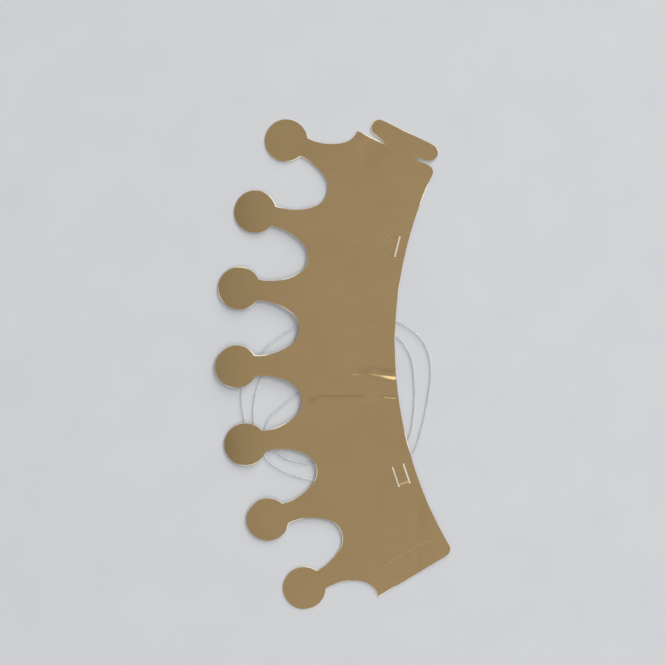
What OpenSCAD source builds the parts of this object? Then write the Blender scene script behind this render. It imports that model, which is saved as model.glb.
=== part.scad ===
// Paper party crown: a flat blank, die-cut as one piece from foil-faced card, with its
// length of clear elastic. It lies face up: X runs along the band from the slit to the
// closing tab, Y runs from the lower edge to the points, and Z is up, off the table.

/* [Band] */
// Radius of the concave lower edge
lower_edge_r = 212; // [200:1:240]
// Length of the lower edge from end to end
band_len = 212.2; // [200:0.1:224]
// Height of the band at the front, from the lower edge to the bottom of a valley
band_h = 51.1; // [46:0.1:54]
// Radius of the two lower corners
corner_r = 3.6; // [1:0.1:5]
// Thickness of the card
card_t = 0.4; // [0.3:0.05:0.6]
// How far the middle of the lying blank bows up off the table
bow_h = 2; // [1.8:0.1:6]

/* [Points] */
// Number of points
point_count = 7; // [5:2:9]
// Diameter of the ball that tips each point
ball_d = 22.7; // [19:0.1:24]
// Height of the front ball's centre above the lower edge
ball_h = 84.3; // [80:0.1:88]
// How much lower the two end points sit than the front one
end_drop = 5.7; // [1:0.1:7]

/* [Valleys] */
// Radius of the round bottom of a valley between two points
valley_r = 10.4; // [9:0.1:12]
// Width of a valley where it is widest, beside the necks of the points
valley_w = 29; // [27:0.1:31]
// Height of that widest place above the bottom of the valley
valley_depth = 22; // [18:0.1:26]
// How much lower the valley beside an end point sits than the front ones
valley_drop = 3.8; // [1:0.1:6]
// Length of lower edge from the middle of the last valley to the end with the slit
slit_end_margin = 3; // [1:0.1:4]
// Length of lower edge from the middle of the last valley to the end with the tab
tab_end_margin = 0.6; // [0.5:0.1:4]

/* [Closing tab and slit] */
// Height of the tab and of the slit that takes it, above the lower edge
closing_h = 21.4; // [20:0.1:24]
// Width of the tab's neck
tab_neck_w = 13; // [10:0.1:18]
// Width of the tab's head across its two ears
tab_head_w = 38.8; // [34:0.1:41]
// How far the tab reaches past the end of the band
tab_reach = 10.9; // [9:0.1:13]
// Width of the notch under an ear, at the ear's tip
tab_notch_w = 1.9; // [1:0.1:3]
// Length of the slit past each side of the neck
closing_play = 7.4; // [4:0.1:8]
// Distance of the slit from the end of the band
closing_inset = 12.6; // [8:0.1:16]

/* [Elastic] */
// Length of the cuts that the elastic is threaded through
anchor_len = 10.4; // [7:0.1:14]
// Height of the lower cut of a pair above the lower edge
anchor_h = 4.9; // [3:0.1:7]
// Distance between the two cuts of a pair
anchor_gap = 6; // [4:0.1:9]
// Width of every cut
cut_w = 0.6; // [0.4:0.1:1]
// Diameter of the elastic
elastic_d = 1; // [0.7:0.1:1.2]

/* [Hidden] */
$fn = 96;
// Facets of the long arc of the lower edge
long_arc_fn = 1440;
// How far a cutting shape runs past what it cuts, and a joining one into what it joins
overrun = 2;

ball_r = ball_d / 2;
deg_per_rad = 180 / PI;
function edge_angle(along) = along / lower_edge_r * deg_per_rad;
pitch = edge_angle(band_len - slit_end_margin - tab_end_margin) / point_count;
slit_end = point_count * pitch / 2 + edge_angle(slit_end_margin);
tab_end = point_count * pitch / 2 + edge_angle(tab_end_margin);
last_point = (point_count - 1) / 2;
// The points keep their height across the front and drop off quickly near the ends
drop_power = 3;
function ball_centre_r(i) =
    lower_edge_r + ball_h - end_drop * pow(abs(i) / last_point, drop_power);
// The valleys drop off more evenly
valley_power = 2;
function valley_centre_r(i) =
    lower_edge_r + band_h + valley_r - valley_drop * pow(abs(i) / last_point, valley_power);
// Every stem ends inside its ball
stem_r = ball_centre_r(last_point);
// The pairs of cuts for the elastic stand under the second point from each end
anchor_angle = (last_point - 1) * pitch;

// Each side of a valley is one wide arc that the round bottom runs into
side_lift = valley_depth - valley_r;
side_r = (pow(valley_w / 2, 2) + pow(side_lift, 2) - pow(valley_r, 2)) / (valley_w - 2 * valley_r);
side_off = side_r - valley_w / 2;
side_start = -valley_r * sin(atan2(side_lift, side_off));

closing_r = lower_edge_r + closing_h;
ear_r = (tab_reach - tab_notch_w) / 2;
ear_x = tab_notch_w + ear_r;
ear_y = tab_head_w / 2 - ear_r;
corner_centre_r = lower_edge_r + corner_r;
corner_turn = asin(corner_r / corner_centre_r);

// A place beside the ray at an angle from the middle of the crown: along it and off it
function beside_ray(angle, off, along) =
    [off * cos(angle) + along * sin(angle), along * cos(angle) - off * sin(angle)];

// The box around the flat outline, measured from the centre of the lower edge's arc
end_ball_x = stem_r * sin(last_point * pitch) + ball_r;
outer_ear = beside_ray(tab_end, ear_x, closing_r + ear_y);
inner_ear = beside_ray(tab_end, ear_x, closing_r - ear_y);
corner_y = corner_centre_r * cos(max(slit_end, tab_end) - corner_turn) - corner_r;
outline_right = max(end_ball_x, outer_ear.x + ear_r);
outline_left = -end_ball_x;
outline_top = lower_edge_r + ball_h + ball_r;
outline_bottom = min(inner_ear.y - ear_r, corner_y);
half_len = (outline_right - outline_left) / 2;
box_centre = [(outline_right + outline_left) / 2, (outline_top + outline_bottom) / 2];

// The bow is one shallow arc along the whole length, with the end points on the table
bow_r = (half_len * half_len + bow_h * bow_h) / (2 * bow_h);
bow_flats = 25;
function bow_at(r, turn) = [r * sin(turn), bow_h - bow_r + r * cos(turn)];

// Places along the loose turns of elastic, from the end inside them to the end outside them
elastic_route = [
    [-11, 8], [-19, 23], [-30, 35], [-42, 35], [-50, 25], [-54, 8], [-55, -10],
    [-52, -27], [-43, -39], [-28, -43], [-12, -44], [3, -42], [14, -34], [20, -20],
    [20, -4], [15, 12], [5, 27], [-8, 38], [-23, 42], [-38, 41],
    [-51, 35], [-59, 22], [-63, 6], [-64, -11], [-61, -28], [-51, -41], [-36, -47],
    [-20, -51], [-4, -53], [10, -49], [20, -37], [25, -22], [26, -5], [22, 12],
    [14, 28], [2, 41], [-13, 48], [-29, 47], [-37, 46]
];
elastic_sides = 8;
rings_per_span = 2;

// A smooth curve through the route: the place at a share of the way along one span
function route_at(i) = elastic_route[min(max(i, 0), len(elastic_route) - 1)];
function on_span(i, share) =
    let (a = route_at(i - 1), b = route_at(i), c = route_at(i + 1), d = route_at(i + 2))
    b + share * (c - a) / 2
      + pow(share, 2) * (a - 2.5 * b + 2 * c - d / 2)
      + pow(share, 3) * (3 * b - 3 * c + d - a) / 2;

elastic_line = [
    for (i = [0 : len(elastic_route) - 2])
        for (k = [0 : rings_per_span - 1])
            on_span(i, k / rings_per_span),
    elastic_route[len(elastic_route) - 1]
];
elastic_rings = len(elastic_line);

// The part of the plane between the rays along the two ends of the band
module fan(reach) {
    far = reach / cos((slit_end + tab_end) / 2) + overrun;
    polygon([[0, 0], beside_ray(-slit_end, 0, far), beside_ray(tab_end, 0, far)]);
}

// The band and the stems, before the valleys are cut
module band_sector() {
    intersection() {
        difference() {
            circle(r = stem_r, $fn = long_arc_fn);
            circle(r = lower_edge_r, $fn = long_arc_fn);
        }
        fan(stem_r);
    }
}

// One valley: a round bottom with curved sides that open towards the points
module valley(i) {
    mouth = stem_r + overrun - valley_centre_r(i);
    rotate(-i * pitch) translate([0, valley_centre_r(i)]) {
        circle(r = valley_r);
        intersection() {
            translate([-side_off, side_lift]) circle(r = side_r);
            translate([side_off, side_lift]) circle(r = side_r);
            translate([-valley_w, side_start]) square([2 * valley_w, mouth - side_start]);
        }
    }
}

// What comes off to round a lower corner, at the end that side names with 1 or -1
module corner_trim(side) {
    end_angle = side < 0 ? slit_end : tab_end;
    turned = end_angle - corner_turn;
    centre = beside_ray(turned, 0, corner_centre_r);
    mirror([side < 0 ? 1 : 0, 0]) difference() {
        polygon([
            centre,
            beside_ray(turned, 0, lower_edge_r - overrun),
            beside_ray(end_angle, overrun, lower_edge_r - overrun),
            beside_ray(end_angle, overrun, corner_centre_r * cos(corner_turn))
        ]);
        translate(centre) circle(r = corner_r);
    }
}

// The tab on the right end: a neck and a head with two round ears
module closing_tab() {
    rotate(-tab_end) translate([0, closing_r]) {
        polygon([
            [-overrun, -tab_neck_w / 2],
            [0, -tab_neck_w / 2],
            [tab_notch_w, -ear_y],
            [tab_reach, -ear_y],
            [tab_reach, ear_y],
            [tab_notch_w, ear_y],
            [0, tab_neck_w / 2],
            [-overrun, tab_neck_w / 2]
        ]);
        for (side = [-1, 1])
            translate([ear_x, side * ear_y]) circle(r = ear_r);
    }
}

// The slit at the left end, parallel to that end
module closing_slit() {
    rotate(slit_end) translate([closing_inset, closing_r])
        square([cut_w, tab_neck_w + 2 * closing_play], center = true);
}

// A pair of cuts along the lower edge for the elastic
module anchor_cuts(side) {
    rotate(side * anchor_angle)
        for (k = [0, 1])
            translate([0, lower_edge_r + anchor_h + k * anchor_gap])
                square([anchor_len, cut_w], center = true);
}

// The flat die-cut outline, about the centre of the lower edge's arc
module blank_outline() {
    difference() {
        union() {
            difference() {
                band_sector();
                for (i = [-last_point - 0.5 : last_point + 0.5])
                    valley(i);
                for (side = [-1, 1])
                    corner_trim(side);
            }
            for (i = [-last_point : last_point])
                rotate(-i * pitch) translate([0, ball_centre_r(i)]) circle(r = ball_r);
            closing_tab();
        }
        closing_slit();
        for (side = [-1, 1])
            anchor_cuts(side);
    }
}

// The bowed layer that the outline is cut from, in narrow flats that follow the arc
module bowed_sheet() {
    half_turn = asin((half_len + overrun) / bow_r);
    under = [for (k = [0 : bow_flats]) bow_at(bow_r, half_turn * (2 * k / bow_flats - 1))];
    over = [
        for (k = [bow_flats : -1 : 0])
            bow_at(bow_r + card_t, half_turn * (2 * k / bow_flats - 1))
    ];
    rotate([90, 0, 0]) linear_extrude(outline_top - outline_bottom + 2 * overrun, center = true)
        polygon(concat(under, over));
}

module crown_card() {
    color("#9b825c") intersection() {
        bowed_sheet();
        translate([0, 0, -overrun]) linear_extrude(bow_h + card_t + 2 * overrun)
            translate(-box_centre) blank_outline();
    }
}

module elastic_cord() {
    ring = [
        for (n = [0 : elastic_rings - 1])
            let (
                before = elastic_line[max(n - 1, 0)],
                after = elastic_line[min(n + 1, elastic_rings - 1)],
                along = (after - before) / norm(after - before),
                aside = [-along.y, along.x]
            )
            for (k = [0 : elastic_sides - 1])
                let (
                    turn = 360 * k / elastic_sides,
                    flat = elastic_line[n] + aside * cos(turn) * elastic_d / 2
                )
                [flat.x, flat.y, (1 + sin(turn)) * elastic_d / 2]
    ];
    walls = [
        for (n = [0 : elastic_rings - 2])
            for (k = [0 : elastic_sides - 1])
                let (a = n * elastic_sides + k, b = n * elastic_sides + (k + 1) % elastic_sides)
                [a, a + elastic_sides, b + elastic_sides, b]
    ];
    first_end = [for (k = [0 : elastic_sides - 1]) k];
    last_end = [for (k = [1 : elastic_sides]) elastic_rings * elastic_sides - k];
    color("#e4e6e8") polyhedron(points = ring, faces = concat(walls, [first_end, last_end]));
}

crown_card();
elastic_cord();
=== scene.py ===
"""Looks of the flat paper crown: gold foil card on a pale table, with its loose elastic.

Lengths are in metres, in the frame of the solids: X runs along the band, Y from the lower
edge to the points, and Z up. The card and the elastic are new pieces in the places of the
two solids.
"""
import math

import bpy
import numpy as np
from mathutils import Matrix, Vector, geometry, kdtree


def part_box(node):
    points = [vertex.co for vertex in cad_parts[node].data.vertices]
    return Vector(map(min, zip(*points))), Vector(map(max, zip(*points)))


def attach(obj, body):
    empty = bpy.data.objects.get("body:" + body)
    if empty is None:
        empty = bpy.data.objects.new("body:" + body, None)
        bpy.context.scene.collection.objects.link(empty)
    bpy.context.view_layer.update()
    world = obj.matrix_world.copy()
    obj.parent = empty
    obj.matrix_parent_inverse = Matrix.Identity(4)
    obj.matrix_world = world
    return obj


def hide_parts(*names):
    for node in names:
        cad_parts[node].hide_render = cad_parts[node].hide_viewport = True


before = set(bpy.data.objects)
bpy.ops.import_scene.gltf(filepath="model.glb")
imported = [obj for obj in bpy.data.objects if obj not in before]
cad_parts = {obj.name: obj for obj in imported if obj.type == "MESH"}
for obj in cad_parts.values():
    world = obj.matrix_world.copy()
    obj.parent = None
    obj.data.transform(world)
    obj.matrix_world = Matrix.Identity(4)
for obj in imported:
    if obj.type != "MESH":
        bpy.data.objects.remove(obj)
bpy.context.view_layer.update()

MM = 0.001

# Card, as the solid has it: the middle of its lower edge's arc, its thickness and its bow
card_low, card_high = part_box("crown_card")
CARD_T = 0.4 * MM
ARC_CENTRE = Vector((0.0, -246.2 * MM))
ARC_R = 212 * MM
BOW = card_high.z - card_low.z - CARD_T
HALF_LEN = card_high.x

# Camera, straight above the card: what the picture's width spans, its middle and its turn
VIEW_WIDTH = 352.45 * MM
VIEW_MIDDLE = (16 * MM, -1.5 * MM)
VIEW_TURN = math.radians(-92.32)
LENS_MM = 85
SENSOR_MM = 36

# Elastic: its thickness, and its route in millimetres
ELASTIC_D = 1 * MM
ELASTIC_ROUTE_MM = [
    (-11, 8), (-19, 23), (-30, 35), (-42, 35), (-50, 25), (-54, 8), (-55, -10),
    (-52, -27), (-43, -39), (-28, -43), (-12, -44), (3, -42), (14, -34), (20, -20),
    (20, -4), (15, 12), (5, 27), (-8, 38), (-23, 42), (-38, 41),
    (-51, 35), (-59, 22), (-63, 6), (-64, -11), (-61, -28), (-51, -41), (-36, -47),
    (-20, -51), (-4, -53), (10, -49), (20, -37), (25, -22), (26, -5), (22, 12),
    (14, 28), (2, 41), (-13, 48), (-29, 47), (-37, 46),
]
# How finely the route and the elastic's round section are stepped
ROUTE_STEPS = 8
SECTION_STEPS = 3

# Mesh of the card: its spacing, finer where it has detail, and how far this goes beside a crease
GRID = 1.1 * MM
FINE_GRID = 0.32 * MM
FINE_REACH = 3 * MM
# How far past a crease's ends the finer mesh goes, as a share of the crease's length
FINE_OVERRUN = 0.1
# How near a point of the mesh may come to a rim, as a share of the spacing
RIM_CLEARANCE = 0.55
# Places are compared to so many decimals of a metre, and points nearer than the gap are one
PLACE_DECIMALS = 6
SAME_POINT_GAP = 1e-9
# Faces that meet at more than this angle are shaded apart
SHARP_ANGLE = math.radians(25)

# Zones of the card's mesh, each with a material of its own
FOIL, CORE, BACK = 0, 1, 2

# Rim: how far the white core shows beside the foil, at least and at most, and how deep it goes
RIM_W = (0.06 * MM, 0.4 * MM)
RIM_DEPTH = 0.22 * MM
# Its width beside a cut, and beside one that shows little of it
CUT_RIM_W = 0.3 * MM
TIGHT_RIM_W = 0.07 * MM
# A cut is nearly shut: the half width that stays open
CUT_HALF_W = 0.08 * MM
# How the rim's width swings over the card, in radians a millimetre along X and Y
RIM_SWINGS = [(0.11, 0.17), (-0.23, 0.06), (0.05, -0.31)]
# The sums of these swings between which the rim goes from its least to its greatest width
RIM_SWING_SPAN = (0.1, 2.4)
# At a sharp corner the rim's shift is held back: the least that one plus the cosine of the
# corner's turn counts for
CORNER_LIMIT = 0.35
# The closing slit, which is longer than this, shows little of its rim
SLIT_MIN_LEN = 20 * MM
# Neither does the cut of the tab side's pair that is further than this from the arc's middle
TIGHT_CUT_R = 220 * MM

# Creases in the foil, in millimetres: the two ends, the widths of the two flanks, then the rises and
# falls, each with a height and the shares of the length between which it comes; the last is a dent
CREASES = [
    ((-3.4, -12.0), (-8.6, -36.0), (3.0, 2.4),
     [(0.53, 0.0, 0.46), (0.2, 0.5, 0.85), (-0.5, 0.86, 1.0)]),
    ((-5.9, -7.5), (-6.9, -19.0), (0.7, 0.5), [(0.15, 0.0, 0.35), (-0.15, 0.5, 0.9)]),
    ((-18.5, 14.0), (-19.9, -26.0), (2.0, 3.4), [(0.4, 0.0, 0.2), (-0.4, 0.7, 1.0)]),
    ((-18.8, -25.0), (-20.0, -34.5), (0.8, 0.55), [(0.17, 0.05, 0.3), (-0.17, 0.85, 1.0)]),
    ((115.5, -19.5), (101.5, -26.4), (9.0, 2.0), [(-0.26, -0.1, 0.3), (0.26, 0.45, 1.15)]),
]
# How steep the flanks are, and the share of its length past which a crease has ended
FLANK_STEEPNESS = 1.3
CREASE_END = 1.2
# Shallow dents, in millimetres: middle, half length, half width, turn in degrees, depth
DENTS = [
    ((-84.8, -42.6), 6.5, 3.0, 0, 0.22),
    ((-104.9, -41.5), 5.0, 1.6, 10, 0.16),
]
# The points curl down, between these heights above the lower edge, each by its own share of the
# bow, from the slit end to the tab end; the curl steepens by this power
DROOP_FROM = 58 * MM
DROOP_TO = 96 * MM
DROOP_SHARES = np.array([0.6, 0.5, 0.7, 0.35, 0.5, 1.0, 0.6])
DROOP_POWER = 3
POINT_PITCH = math.radians(8.054)
# The strip between the two cuts of a pair stands proud: its turn from the middle, its reach out
# from the arc's middle, half its length, how high it stands and over what length it comes up
STRIP_TURN = 2 * POINT_PITCH
STRIP_R = (216.9 * MM, 222.9 * MM)
STRIP_HALF_LEN = 5.2 * MM
STRIP_RISE = 0.17 * MM
STRIP_RAMP = 1.6 * MM
# Slow waves of the lying card: length, direction in degrees, height
WAVES = [(78 * MM, 12, 0.09 * MM), (53 * MM, 101, 0.06 * MM), (118 * MM, 61, 0.12 * MM)]

# Stage: half the width of a pale table top that runs out of sight, and its two colours
FLOOR_HALF = 3.0
FLOOR_COLOURS = ((193, 194, 197), (196, 197, 199))

# Lamps: name, place, size along and across, how bright it looks, and whether glossy things mirror it.
# The low lamp is there for longer shadows; if mirrored, it would glare from the foil in low views
LAMPS = [
    ("key_lamp", (1.2, -1.8, 2.0), 1.0, 1.0, 10.0, True),
    ("low_lamp", (16.0, -10.0, 6.8), 8.0, 8.0, 12.0, False),
    ("strip_lamp", (-1.5, -0.2, 1.9), 1.6, 1.0, 1.9, True),
]
SKY_LEVEL = 0.865
# How the sky's level changes overhead along X, Y and Z; towards the horizon this fades out
SKY_SLOPE = (0.1, -0.3, 0.0)
# Beyond the tab end and the points the sky is darker: where this begins and ends, and by how much
SKY_DUSK = {"X": (0.1, 0.4, 0.22), "Y": (0.07, 0.35, 0.3)}


def srgb(red, green, blue):
    """A colour given as 0 to 255, as a picture holds it, in linear light."""
    linear = []
    for value in (red, green, blue):
        share = value / 255
        linear.append(share / 12.92 if share <= 0.04045 else ((share + 0.055) / 1.055) ** 2.4)
    return (*linear, 1.0)


def add_camera():
    """A long lens straight above the card, turned as the photograph is."""
    data = bpy.data.cameras.new("camera")
    data.lens = LENS_MM
    data.sensor_width = SENSOR_MM
    camera = bpy.data.objects.new("camera", data)
    camera.location = (*VIEW_MIDDLE, card_high.z + VIEW_WIDTH * LENS_MM / SENSOR_MM)
    camera.rotation_euler = (0, 0, VIEW_TURN)
    bpy.context.scene.collection.objects.link(camera)
    bpy.context.scene.camera = camera


def smooth_route(places, steps):
    """A smooth curve through the places, as a list of points."""
    ends = [places[0], *places, places[-1]]
    curve = []
    for a, b, c, d in zip(ends, ends[1:], ends[2:], ends[3:]):
        a, b, c, d = (np.array(p, float) for p in (a, b, c, d))
        for share in np.arange(steps) / steps:
            curve.append(
                b + share * (c - a) / 2
                + share**2 * (a - 2.5 * b + 2 * c - d / 2)
                + share**3 * (3 * b - 3 * c + d - a) / 2
            )
    return [*curve, np.array(places[-1], float)]


def add_elastic(material):
    """The loose elastic, lying on the table under the card."""
    line = smooth_route(ELASTIC_ROUTE_MM, ROUTE_STEPS)
    curve = bpy.data.curves.new("elastic", "CURVE")
    curve.dimensions = "3D"
    curve.bevel_depth = ELASTIC_D / 2
    curve.bevel_resolution = SECTION_STEPS
    curve.use_fill_caps = True
    spline = curve.splines.new("POLY")
    spline.points.add(len(line) - 1)
    for point, (x, y) in zip(spline.points, line):
        point.co = (x * MM, y * MM, ELASTIC_D / 2, 1)
    curve.materials.append(material)
    elastic = bpy.data.objects.new("elastic", curve)
    bpy.context.scene.collection.objects.link(elastic)
    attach(elastic, "root")
    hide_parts("elastic_cord")


class Shader:
    """A new material with a Principled shader, and short calls for the nodes around it."""

    def __init__(self, name):
        self.material = bpy.data.materials.new(name)
        self.material.use_nodes = True
        self.nodes = self.material.node_tree.nodes
        self.links = self.material.node_tree.links
        self.principled = self.nodes["Principled BSDF"]
        self.place = self.nodes.new("ShaderNodeTexCoord").outputs["Object"]

    def set(self, **values):
        """Values that are the same all over the surface."""
        for name, value in values.items():
            self.principled.inputs[name.replace("_", " ")].default_value = value

    def stretched(self, turn, stretch):
        """The place on the object, turned about Z and stretched."""
        mapping = self.nodes.new("ShaderNodeMapping")
        mapping.inputs["Rotation"].default_value = (0, 0, turn)
        mapping.inputs["Scale"].default_value = stretch
        self.links.new(self.place, mapping.inputs["Vector"])
        return mapping.outputs["Vector"]

    def noise(self, size, detail=3, roughness=0.5, place=None):
        """Cloudy noise whose lumps are about this size."""
        node = self.nodes.new("ShaderNodeTexNoise")
        node.inputs["Scale"].default_value = 1 / size
        node.inputs["Detail"].default_value = detail
        node.inputs["Roughness"].default_value = roughness
        self.links.new(place or self.place, node.inputs["Vector"])
        return node.outputs["Fac"]

    def ranged(self, value, low, high, from_low=0.3, from_high=0.7):
        """A value spread over a range."""
        node = self.nodes.new("ShaderNodeMapRange")
        for name, number in zip(("From Min", "From Max", "To Min", "To Max"),
                                (from_low, from_high, low, high)):
            node.inputs[name].default_value = number
        self.links.new(value, node.inputs["Value"])
        return node.outputs["Result"]

    def mixed(self, share, first, second):
        """One colour going over into another."""
        node = self.nodes.new("ShaderNodeMix")
        node.data_type = "RGBA"
        self.links.new(share, node.inputs["Factor"])
        for name, colour in (("A", first), ("B", second)):
            socket = next(s for s in node.inputs if s.name == name and s.type == "RGBA")
            if isinstance(colour, tuple):
                socket.default_value = colour
            else:
                self.links.new(colour, socket)
        return next(s for s in node.outputs if s.type == "RGBA")

    def bumped(self, height, strength, depth):
        """The surface's direction with a bump of this depth."""
        node = self.nodes.new("ShaderNodeBump")
        node.inputs["Strength"].default_value = strength
        node.inputs["Distance"].default_value = depth
        self.links.new(height, node.inputs["Height"])
        return node.outputs["Normal"]

    def feed(self, output, name):
        """Link an output to the shader."""
        self.links.new(output, self.principled.inputs[name])


def foil_material():
    """Satin gold foil: faintly cloudy in colour and gloss, with long fine streaks across the band."""
    foil = Shader("gold_foil")
    foil.set(Metallic=1.0)
    clouds = foil.ranged(foil.noise(26 * MM), 0, 1)
    tone = foil.mixed(clouds, srgb(178, 151, 108), srgb(182, 155, 111))
    streaks = foil.noise(2.2 * MM, detail=4, roughness=0.6, place=foil.stretched(0, (1, 0.04, 1)))
    streaked = foil.ranged(streaks, 0, 0.5, from_low=0.45, from_high=0.8)
    foil.feed(foil.mixed(streaked, tone, srgb(186, 159, 116)), "Base Color")
    foil.feed(foil.ranged(foil.noise(12 * MM), 0.165, 0.2), "Roughness")
    ripple = foil.noise(16 * MM, detail=2)
    foil.feed(foil.bumped(ripple, strength=0.3, depth=0.02 * MM), "Normal")
    return foil.material


def core_material():
    """The cut edge of the card: cream fibres in layers."""
    core = Shader("card_core")
    core.set(Roughness=0.75)
    fibres = core.noise(0.5 * MM, detail=4, roughness=0.6, place=core.stretched(0, (1, 1, 4)))
    tone = core.mixed(core.ranged(fibres, 0, 1), srgb(226, 214, 190), srgb(243, 236, 220))
    core.feed(tone, "Base Color")
    core.feed(core.bumped(fibres, strength=0.4, depth=0.03 * MM), "Normal")
    return core.material


def back_material():
    """The plain white back of the card: soft, with short fibres."""
    back = Shader("card_back")
    back.set(Roughness=0.82)
    clouds = back.ranged(back.noise(14 * MM), 0, 1)
    shade = back.mixed(clouds, srgb(226, 226, 222), srgb(236, 236, 233))
    fibres = back.noise(0.7 * MM, detail=5, roughness=0.6, place=back.stretched(0.4, (0.35, 1, 1)))
    fibred = back.ranged(fibres, 0, 0.6, from_low=0.55, from_high=0.8)
    back.feed(back.mixed(fibred, shade, srgb(214, 213, 208)), "Base Color")
    back.feed(back.bumped(fibres, strength=0.35, depth=0.02 * MM), "Normal")
    return back.material


def elastic_material():
    """Clear soft plastic, a little milky, with a faint ripple in its gloss."""
    clear = Shader("clear_elastic")
    clear.set(IOR=1.46, Transmission_Weight=0.3, Alpha=0.5)
    milk = clear.ranged(clear.noise(9 * MM), 0, 1)
    clear.feed(clear.mixed(milk, srgb(218, 222, 227), srgb(230, 233, 237)), "Base Color")
    clear.feed(clear.ranged(clear.noise(3 * MM), 0.1, 0.22), "Roughness")
    ripple = clear.noise(3 * MM, detail=2)
    clear.feed(clear.bumped(ripple, strength=0.2, depth=0.02 * MM), "Normal")
    return clear.material


def upper_loops(node):
    """The closed edges of a node's upper face, as arrays of (x, y), with the card on their left."""
    mesh = node.data
    places, index = np.unique(
        np.round([v.co for v in mesh.vertices], PLACE_DECIMALS), axis=0, return_inverse=True
    )
    index = index.ravel()
    is_upper = places[:, 2] > BOW * (1 - (places[:, 0] / HALF_LEN) ** 2) + CARD_T / 2
    ways = set()
    for face in mesh.polygons:
        ids = [int(index[v]) for v in face.vertices]
        if is_upper[ids].all() and len(set(ids)) == len(ids):
            ways.update(zip(ids, ids[1:] + ids[:1]))
    following = {a: b for a, b in ways if (b, a) not in ways}
    loops = []
    while following:
        loop = [next(iter(sorted(following)))]
        while loop[-1] in following:
            loop.append(following.pop(loop[-1]))
        loops.append(places[loop[:-1], :2])
    return sorted(loops, key=lambda loop: -np.ptp(loop[:, 0]))


def subdivided(loop, spacing):
    """The loop with points no further apart than the spacing."""
    points = []
    for a, b in zip(loop, np.roll(loop, -1, axis=0)):
        count = max(1, math.ceil(np.linalg.norm(b - a) / spacing))
        points.extend(a + (b - a) * k / count for k in range(count))
    return np.array(points)


def shut(hole):
    """A cut's loop, pressed together until it is nearly shut."""
    middle = hole.mean(axis=0)
    along = np.linalg.svd(hole - middle)[2][0]
    across = np.array([-along[1], along[0]])
    off = (hole - middle) @ across
    return hole + np.outer(np.sign(off) * CUT_HALF_W - off, across)


def inset(loop, width):
    """The loop moved into the card by a width."""
    before = loop - np.roll(loop, 1, axis=0)
    after = np.roll(loop, -1, axis=0) - loop
    normals = []
    for way in (before, after):
        way = way / np.linalg.norm(way, axis=1)[:, None]
        normals.append(np.column_stack([-way[:, 1], way[:, 0]]))
    turn = 1 + (normals[0] * normals[1]).sum(axis=1)
    corner = (normals[0] + normals[1]) / np.maximum(turn, CORNER_LIMIT)[:, None]
    return loop + corner * width[:, None]


def hexagonal(low, high, spacing):
    """Points of a hexagonal grid over a rectangle."""
    row_gap = spacing * math.sqrt(0.75)
    xs = np.arange(low[0], high[0], spacing)
    ys = np.arange(low[1], high[1], row_gap)
    x, y = np.meshgrid(xs, ys)
    x[1::2] += spacing / 2
    return np.column_stack([x.ravel(), y.ravel()])


def inside(points, loops):
    """Which points lie within the card, by counting the edges to the right of each."""
    odd = np.zeros(len(points), bool)
    for loop in loops:
        for (ax, ay), (bx, by) in zip(loop, np.roll(loop, -1, axis=0)):
            if ay != by:
                level = (points[:, 1] >= min(ay, by)) & (points[:, 1] < max(ay, by))
                cross_x = ax + (points[:, 1] - ay) * (bx - ax) / (by - ay)
                odd ^= level & (points[:, 0] < cross_x)
    return odd


def off_line(x, y, start, end):
    """How far along a line each place is, as a share, and how far beside it."""
    start, end = np.array(start) * MM, np.array(end) * MM
    way = end - start
    length = np.linalg.norm(way)
    along = ((x - start[0]) * way[0] + (y - start[1]) * way[1]) / length**2
    beside = ((y - start[1]) * way[0] - (x - start[0]) * way[1]) / length
    return along, beside


def smooth_step(value, low, high):
    """0 below the low value, 1 above the high one, and a smooth rise between."""
    share = np.clip((value - low) / (high - low), 0, 1)
    return share * share * (3 - 2 * share)


def on_strip(x, y):
    """How far along the nearer strip between two cuts each place is, and how far out."""
    turn = np.abs(np.arctan2(x - ARC_CENTRE.x, y - ARC_CENTRE.y)) - STRIP_TURN
    reach = np.hypot(x - ARC_CENTRE.x, y - ARC_CENTRE.y)
    return reach * np.sin(turn), reach * np.cos(turn)


def lie(x, y):
    """Height of the card's underside: its bow, drooping points, waves, creases, dents and strips."""
    bow = BOW * (1 - (x / HALF_LEN) ** 2)
    up = np.hypot(x - ARC_CENTRE.x, y - ARC_CENTRE.y) - ARC_R
    share = np.clip((up - DROOP_FROM) / (DROOP_TO - DROOP_FROM), 0, 1)
    turn = np.arctan2(x - ARC_CENTRE.x, y - ARC_CENTRE.y)
    last_point = len(DROOP_SHARES) - 1
    point = np.clip(np.rint(turn / POINT_PITCH + last_point / 2), 0, last_point).astype(int)
    z = bow * (1 - DROOP_SHARES[point] * share**DROOP_POWER)
    for length, degrees, height in WAVES:
        angle = math.radians(degrees)
        way = x * math.cos(angle) + y * math.sin(angle)
        z = z + height * np.sin(2 * math.pi * way / length) * bow / BOW
    for start, end, flanks, rises in CREASES:
        along, beside = off_line(x, y, start, end)
        flank = np.where(beside > 0, *flanks) * MM
        ridge = np.exp(-FLANK_STEEPNESS * (beside / flank) ** 2)
        for height, low, high in rises:
            z = z + height * MM * ridge * smooth_step(along, low, high) * (along < CREASE_END)
    for middle, half_len, half_width, degrees, depth in DENTS:
        angle = math.radians(degrees)
        dx, dy = x - middle[0] * MM, y - middle[1] * MM
        along = (dx * math.cos(angle) + dy * math.sin(angle)) / (half_len * MM)
        across = (dy * math.cos(angle) - dx * math.sin(angle)) / (half_width * MM)
        z = z - depth * MM * np.exp(-(along**2) - across**2)
    along, out = on_strip(x, y)
    is_strip = (out > STRIP_R[0]) & (out < STRIP_R[1])
    z = z + STRIP_RISE * is_strip * smooth_step(STRIP_HALF_LEN - np.abs(along), 0, STRIP_RAMP)
    return np.maximum(z, 0)


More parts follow.
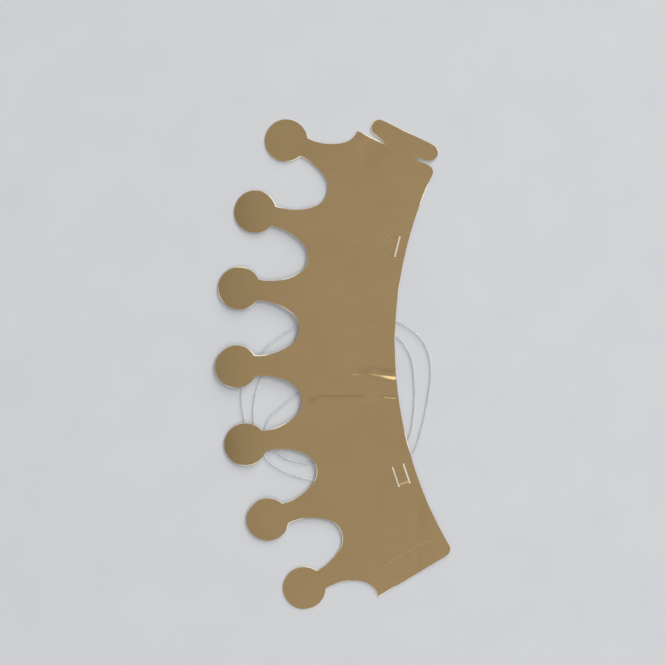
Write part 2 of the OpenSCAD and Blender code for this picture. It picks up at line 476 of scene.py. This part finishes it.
def rim_width(loop, is_outer):
    """How wide the white rim is at each point of a loop; along the outline it comes and goes."""
    if is_outer:
        swing = sum(np.sin(loop @ np.array(way) / MM) for way in RIM_SWINGS)
        share = smooth_step(swing, *RIM_SWING_SPAN)
        return RIM_W[0] + (RIM_W[1] - RIM_W[0]) * share
    middle = loop.mean(axis=0)
    is_slit = np.linalg.norm(np.ptp(loop, axis=0)) > SLIT_MIN_LEN
    is_tight_cut = middle[0] > 0 and np.linalg.norm(middle - ARC_CENTRE) > TIGHT_CUT_R
    return np.full(len(loop), TIGHT_RIM_W if is_slit or is_tight_cut else CUT_RIM_W)


def is_detailed(x, y):
    """Which places are beside a crease or on a strip between two cuts."""
    along, out = on_strip(x, y)
    chosen = (np.abs(along) < STRIP_HALF_LEN) & (out > STRIP_R[0]) & (out < STRIP_R[1])
    for start, end, _, _ in CREASES:
        along, beside = off_line(x, y, start, end)
        is_along = (along > -FINE_OVERRUN) & (along < 1 + FINE_OVERRUN)
        chosen |= is_along & (np.abs(beside) < FINE_REACH)
    return chosen


def filling(rims):
    """Points spread over the card within its rims, closer together where it has detail."""
    low, high = rims[0].min(axis=0), rims[0].max(axis=0)
    near = kdtree.KDTree(sum(len(rim) for rim in rims))
    for number, point in enumerate(np.vstack(rims)):
        near.insert((*point, 0), number)
    near.balance()
    chosen = []
    for spacing, is_fine in ((GRID, False), (FINE_GRID, True)):
        points = hexagonal(low, high, spacing)
        points = points[(is_detailed(*points.T) == is_fine) & inside(points, rims)]
        clear = [near.find((*p, 0))[2] > RIM_CLEARANCE * spacing for p in points]
        chosen.append(points[np.array(clear, bool)])
    return np.vstack(chosen)


def sides(face):
    """The edges of a face, each as a set of two points."""
    return [frozenset(edge) for edge in zip(face, [*face[1:], face[0]])]


def reached(faces, walls, first_free):
    """The faces that are reached from one inside the card without crossing its edges."""
    walls = {frozenset(wall) for wall in walls}
    beside = {}
    for number, face in enumerate(faces):
        for side in sides(face):
            beside.setdefault(side, []).append(number)
    waiting = [next(n for n, face in enumerate(faces) if min(face) >= first_free)]
    found = set(waiting)
    while waiting:
        for side in sides(faces[waiting.pop()]):
            if side not in walls:
                new = set(beside[side]) - found
                found |= new
                waiting.extend(new)
    return [tuple(faces[number]) for number in sorted(found)]


def card_mesh():
    """The card as a closed mesh: foil face, white rim, cut edge and white back."""
    outer, *holes = upper_loops(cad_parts["crown_card"])
    edges = [subdivided(outer, GRID)] + [shut(subdivided(hole, GRID)) for hole in holes]
    rims = [inset(edge, rim_width(edge, edge is edges[0])) for edge in edges]
    starts = np.cumsum([0] + [len(edge) for edge in edges])
    count = int(starts[-1])
    ring = []
    for start, edge in zip(starts, edges):
        ids = list(range(start, start + len(edge)))
        ring.extend(zip(ids, ids[1:] + ids[:1]))
    flat = np.vstack([*rims, filling(rims)])
    all_triangles = 0
    made = geometry.delaunay_2d_cdt(
        [Vector(p) for p in flat], [(int(a), int(b)) for a, b in ring], [], all_triangles, SAME_POINT_GAP
    )
    if len(made[0]) != len(flat):
        raise ValueError("the card's outline crosses itself")
    faces = reached(made[2], ring, count)
    edge_xy = np.vstack(edges)
    face_z, edge_z = lie(*flat.T), lie(*edge_xy.T)
    top = np.column_stack([flat, face_z + CARD_T])
    under = np.column_stack([flat, face_z])
    edge_top = np.column_stack([edge_xy, edge_z + CARD_T - RIM_DEPTH])
    edge_low = np.column_stack([edge_xy, edge_z])
    first_under, first_top_edge = len(flat), 2 * len(flat)
    first_low_edge = first_top_edge + count
    polygons = list(faces)
    polygons += [tuple(first_under + v for v in reversed(face)) for face in faces]
    zones = [FOIL] * len(faces) + [BACK] * len(faces)
    bands = [(0, first_top_edge, CORE), (first_top_edge, first_low_edge, CORE),
             (first_low_edge, first_under, BACK)]
    for a, b in ring:
        for upper, lower, zone in bands:
            polygons.append((upper + a, lower + a, lower + b, upper + b))
            zones.append(zone)
    mesh = bpy.data.meshes.new("card")
    for material in (foil_material(), core_material(), back_material()):
        mesh.materials.append(material)
    mesh.from_pydata(np.vstack([top, under, edge_top, edge_low]).tolist(), [], polygons)
    mesh.polygons.foreach_set("material_index", zones)
    mesh.polygons.foreach_set("use_smooth", [True] * len(polygons))
    mesh.set_sharp_from_angle(angle=SHARP_ANGLE)
    mesh.validate()
    return mesh


def add_card():
    """The crown's card, in the place of its solid."""
    card = bpy.data.objects.new("card", card_mesh())
    bpy.context.scene.collection.objects.link(card)
    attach(card, "root")
    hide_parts("crown_card")


def add_floor():
    """A plain pale table top."""
    half = FLOOR_HALF
    corners = [(-half, -half, 0), (half, -half, 0), (half, half, 0), (-half, half, 0)]
    mesh = bpy.data.meshes.new("floor")
    mesh.from_pydata(corners, [], [(0, 1, 2, 3)])
    table = Shader("table_top")
    table.set(Roughness=0.7, Specular_IOR_Level=0.2)
    mottle = table.ranged(table.noise(30 * MM, detail=4), 0, 1)
    first, second = (srgb(*colour) for colour in FLOOR_COLOURS)
    table.feed(table.mixed(mottle, first, second), "Base Color")
    mesh.materials.append(table.material)
    floor = bpy.data.objects.new("floor", mesh)
    bpy.context.scene.collection.objects.link(floor)


def add_lamps():
    """Soft boxes, aimed at the card."""
    for name, place, along, across, radiance, is_mirrored in LAMPS:
        data = bpy.data.lights.new(name, "AREA")
        data.shape = "RECTANGLE"
        data.size = along
        data.size_y = across
        data.energy = radiance * math.pi * along * across
        lamp = bpy.data.objects.new(name, data)
        lamp.location = place
        lamp.visible_glossy = is_mirrored
        lamp.rotation_euler = (-Vector(place)).to_track_quat("-Z", "Y").to_euler()
        bpy.context.scene.collection.objects.link(lamp)


def add_sky():
    """Soft light from all round, overhead a little brighter on the side of the key lamp."""
    world = bpy.data.worlds.new("studio")
    world.use_nodes = True
    nodes, links = world.node_tree.nodes, world.node_tree.links
    nodes.clear()
    way = nodes.new("ShaderNodeTexCoord").outputs["Generated"]
    axes = nodes.new("ShaderNodeSeparateXYZ")
    links.new(way, axes.inputs["Vector"])
    slope = nodes.new("ShaderNodeVectorMath")
    slope.operation = "DOT_PRODUCT"
    slope.inputs[1].default_value = SKY_SLOPE
    links.new(way, slope.inputs[0])
    change = slope.outputs["Value"]
    for axis, (low, high, depth) in SKY_DUSK.items():
        dusk = nodes.new("ShaderNodeMapRange")
        dusk.interpolation_type = "SMOOTHSTEP"
        dusk.inputs["From Min"].default_value = low
        dusk.inputs["From Max"].default_value = high
        dusk.inputs["To Min"].default_value = 0
        dusk.inputs["To Max"].default_value = -depth
        links.new(axes.outputs[axis], dusk.inputs["Value"])
        total = nodes.new("ShaderNodeMath")
        links.new(change, total.inputs[0])
        links.new(dusk.outputs["Result"], total.inputs[1])
        change = total.outputs["Value"]
    height = nodes.new("ShaderNodeClamp")
    links.new(axes.outputs["Z"], height.inputs["Value"])
    level = nodes.new("ShaderNodeMath")
    level.operation = "MULTIPLY_ADD"
    links.new(change, level.inputs[0])
    links.new(height.outputs["Result"], level.inputs[1])
    level.inputs[2].default_value = SKY_LEVEL
    sky = nodes.new("ShaderNodeBackground")
    links.new(level.outputs["Value"], sky.inputs["Strength"])
    output = nodes.new("ShaderNodeOutputWorld")
    links.new(sky.outputs["Background"], output.inputs["Surface"])
    bpy.context.scene.world = world


add_camera()
add_elastic(elastic_material())
add_card()
add_floor()
add_lamps()
add_sky()
bpy.context.scene.view_settings.view_transform = "Standard"
